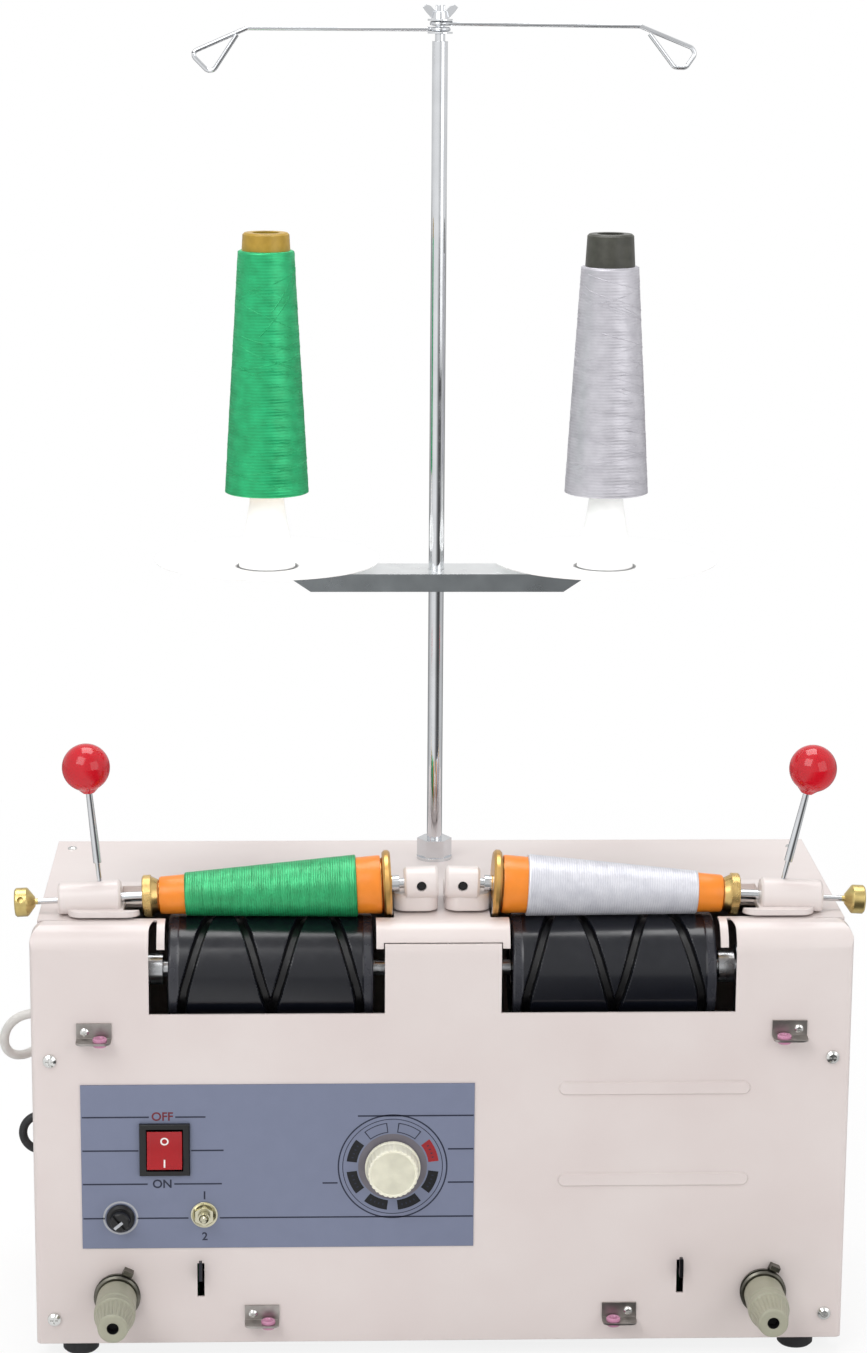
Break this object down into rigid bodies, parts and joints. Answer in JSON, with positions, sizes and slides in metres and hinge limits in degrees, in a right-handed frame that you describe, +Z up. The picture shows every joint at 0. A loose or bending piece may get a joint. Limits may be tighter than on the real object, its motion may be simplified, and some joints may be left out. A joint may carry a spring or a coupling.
{
  "type": "yarn cone winder",
  "caption": "Bench-top electric yarn cone winder with grooved traverse drums, lift-up cone cradles, tensioners, stop levers and a mast that carries supply cones",
  "frame": {"origin": "Middle of the machine's own bounding box at bench level, cord left out", "axes": "X to the machine's right as seen from the operator's side, Y to the back, Z up"},
  "size_m": [0.4488, 0.3199, 0.6773],
  "materials": {
    "case_paint": "satin",
    "panel_film": "satin",
    "zinc_steel": "satin",
    "bright_steel": "polished",
    "foot_rubber": "matte",
    "switch_black": "satin",
    "rocker_red": "gloss",
    "drum_black": "gloss",
    "motor_paint": "satin",
    "bracket_steel": "satin",
    "belt_rubber": "matte",
    "cradle_paint": "satin",
    "chuck_brass": "satin",
    "ball_red": "gloss",
    "tube_orange": "satin",
    "yarn_green": "matte",
    "yarn_grey": "matte",
    "yarn_green_stock": "matte",
    "yarn_grey_stock": "matte",
    "stock_tube": "matte",
    "plate_white": "satin",
    "tray_zinc": "satin",
    "eyelet_pink": "gloss",
    "post_beige": "satin",
    "disc_black": "satin",
    "knob_ivory": "gloss",
    "board_green": "satin",
    "lead_black": "satin",
    "cord_white": "satin"
  },
  "bodies": {
    "machine": {"front_cover": "case_paint", "top_cover": "case_paint", "rear_case": "case_paint", "base_plate": "bracket_steel", "feet": "foot_rubber", "cover_screws": "bright_steel", "control_panel": "panel_film", "rocker_bezel": "switch_black", "fuse_holder": "switch_black", "toggle_switch": "bright_steel", "electrics": "board_green", "guide_brackets": "zinc_steel", "guide_eyelets": "eyelet_pink", "tension_posts": "post_beige", "tension_discs": "disc_black", "drum_brackets": "bracket_steel", "drum_bearings": "bright_steel", "belt": "belt_rubber", "motor": "motor_paint", "cradle_mounts": "cradle_paint", "mast": "bright_steel", "tray": "tray_zinc", "spool_stands": "plate_white", "supply_tubes": "stock_tube", "supply_thread_green": "yarn_green_stock", "supply_thread_grey": "yarn_grey_stock", "side_lead": "lead_black", "power_cord": "cord_white", "power_coil": "cord_white", "power_plug": "cord_white"},
    "drums": {"drum_left": "drum_black", "drum_right": "drum_black", "drum_axle": "zinc_steel"},
    "motor_rotor": {"motor_pulley": "zinc_steel"},
    "wing_nut": {"wing_nut": "bright_steel"},
    "rocker": {"rocker": "rocker_red"},
    "toggle": {"toggle_lever": "bright_steel"},
    "speed_knob": {"speed_knob": "knob_ivory"},
    "head_left": {"cradle_left": "cradle_paint", "lever_rod_left": "bright_steel", "lever_ball_left": "ball_red"},
    "plunger_left": {"plunger_left": "chuck_brass"},
    "small_chuck_left": {"small_chuck_left": "chuck_brass"},
    "cone_left": {"large_chuck_left": "chuck_brass", "cone_tube_left": "tube_orange", "cone_thread_left": "yarn_green"},
    "arm_left": {"thread_arm_left": "bright_steel"},
    "tension_knob_left": {"tension_knob_left": "post_beige"},
    "feeler_left": {"feeler_left": "zinc_steel"},
    "head_right": {"cradle_right": "cradle_paint", "lever_rod_right": "bright_steel", "lever_ball_right": "ball_red"},
    "plunger_right": {"plunger_right": "chuck_brass"},
    "small_chuck_right": {"small_chuck_right": "chuck_brass"},
    "cone_right": {"large_chuck_right": "chuck_brass", "cone_tube_right": "tube_orange", "cone_thread_right": "yarn_grey"},
    "arm_right": {"thread_arm_right": "bright_steel"},
    "tension_knob_right": {"tension_knob_right": "post_beige"},
    "feeler_right": {"feeler_right": "zinc_steel"}
  },
  "joints": [
    {"name": "drum_spin", "type": "hinge", "parent": "machine", "child": "drums", "pos_m": [0.0043, -0.0428, 0.199], "axis": [1, 0, 0], "continuous": true},
    {"name": "motor_spin", "type": "hinge", "parent": "machine", "child": "motor_rotor", "pos_m": [0.0043, 0.0392, 0.058], "axis": [1, 0, 0], "continuous": true},
    {"name": "wing_nut_turn", "type": "hinge", "parent": "machine", "child": "wing_nut", "pos_m": [0.0043, 0.0572, 0.659], "axis": [0, 0, 1], "continuous": true},
    {"name": "rocker_tip", "type": "hinge", "parent": "machine", "child": "rocker", "pos_m": [-0.1355, -0.0734, 0.1136], "axis": [1, 0, 0], "range_deg": [0, 18]},
    {"name": "toggle_tip", "type": "hinge", "parent": "machine", "child": "toggle", "pos_m": [-0.1159, -0.0768, 0.0786], "axis": [1, 0, 0], "range_deg": [0, 24]},
    {"name": "speed_turn", "type": "hinge", "parent": "machine", "child": "speed_knob", "pos_m": [-0.0207, -0.0728, 0.1036], "axis": [0, -1, 0], "range_deg": [0, 270]},
    {"name": "cradle_lift_left", "type": "hinge", "parent": "machine", "child": "head_left", "pos_m": [0.0043, -0.0063, 0.2346], "axis": [-1, 0, 0], "range_deg": [0, 50]},
    {"name": "cone_spin_left", "type": "hinge", "parent": "head_left", "child": "cone_left", "pos_m": [-0.0264, -0.0428, 0.24298], "axis": [-0.9988, 0, -0.0483], "continuous": true},
    {"name": "chuck_slide_left", "type": "slide", "parent": "head_left", "child": "plunger_left", "axis": [-0.9988, 0, -0.0483], "range_m": [0, 0.009], "stiffness_N_per_m": 200},
    {"name": "small_chuck_spin_left", "type": "hinge", "parent": "plunger_left", "child": "small_chuck_left", "pos_m": [-0.0264, -0.0428, 0.24298], "axis": [-0.9988, 0, -0.0483], "continuous": true},
    {"name": "arm_swing_left", "type": "hinge", "parent": "machine", "child": "arm_left", "pos_m": [0.0043, 0.0572, 0.666], "axis": [0, 0, 1], "range_deg": [-60, 60]},
    {"name": "tension_turn_left", "type": "hinge", "parent": "machine", "child": "tension_knob_left", "pos_m": [-0.1603, -0.0728, 0.0354], "axis": [0, -1, 0], "range_deg": [-180, 180]},
    {"name": "feeler_drop_left", "type": "hinge", "parent": "machine", "child": "feeler_left", "pos_m": [-0.1179, -0.0468, 0.041], "axis": [1, 0, 0], "range_deg": [0, 18]},
    {"name": "cradle_lift_right", "type": "hinge", "parent": "machine", "child": "head_right", "pos_m": [0.0043, -0.0063, 0.2346], "axis": [-1, 0, 0], "range_deg": [0, 50]},
    {"name": "cone_spin_right", "type": "hinge", "parent": "head_right", "child": "cone_right", "pos_m": [0.035, -0.0428, 0.24298], "axis": [0.9988, 0, -0.0483], "continuous": true},
    {"name": "chuck_slide_right", "type": "slide", "parent": "head_right", "child": "plunger_right", "axis": [0.9988, 0, -0.0483], "range_m": [0, 0.009], "stiffness_N_per_m": 200},
    {"name": "small_chuck_spin_right", "type": "hinge", "parent": "plunger_right", "child": "small_chuck_right", "pos_m": [0.035, -0.0428, 0.24298], "axis": [0.9988, 0, -0.0483], "continuous": true},
    {"name": "arm_swing_right", "type": "hinge", "parent": "machine", "child": "arm_right", "pos_m": [0.0043, 0.0572, 0.666], "axis": [0, 0, 1], "range_deg": [-60, 60]},
    {"name": "tension_turn_right", "type": "hinge", "parent": "machine", "child": "tension_knob_right", "pos_m": [0.1689, -0.0728, 0.0354], "axis": [0, -1, 0], "range_deg": [-180, 180]},
    {"name": "feeler_drop_right", "type": "hinge", "parent": "machine", "child": "feeler_right", "pos_m": [0.1265, -0.0468, 0.041], "axis": [1, 0, 0], "range_deg": [0, 18]}
  ],
  "couplings": [
    {"joint": "motor_spin", "follows": "drum_spin", "ratio": 2.8182},
    {"joint": "cone_spin_left", "follows": "drum_spin", "ratio": 2.1522},
    {"joint": "small_chuck_spin_left", "follows": "drum_spin", "ratio": 2.1522},
    {"joint": "cone_spin_right", "follows": "drum_spin", "ratio": -2.1522},
    {"joint": "small_chuck_spin_right", "follows": "drum_spin", "ratio": -2.1522}
  ]
}
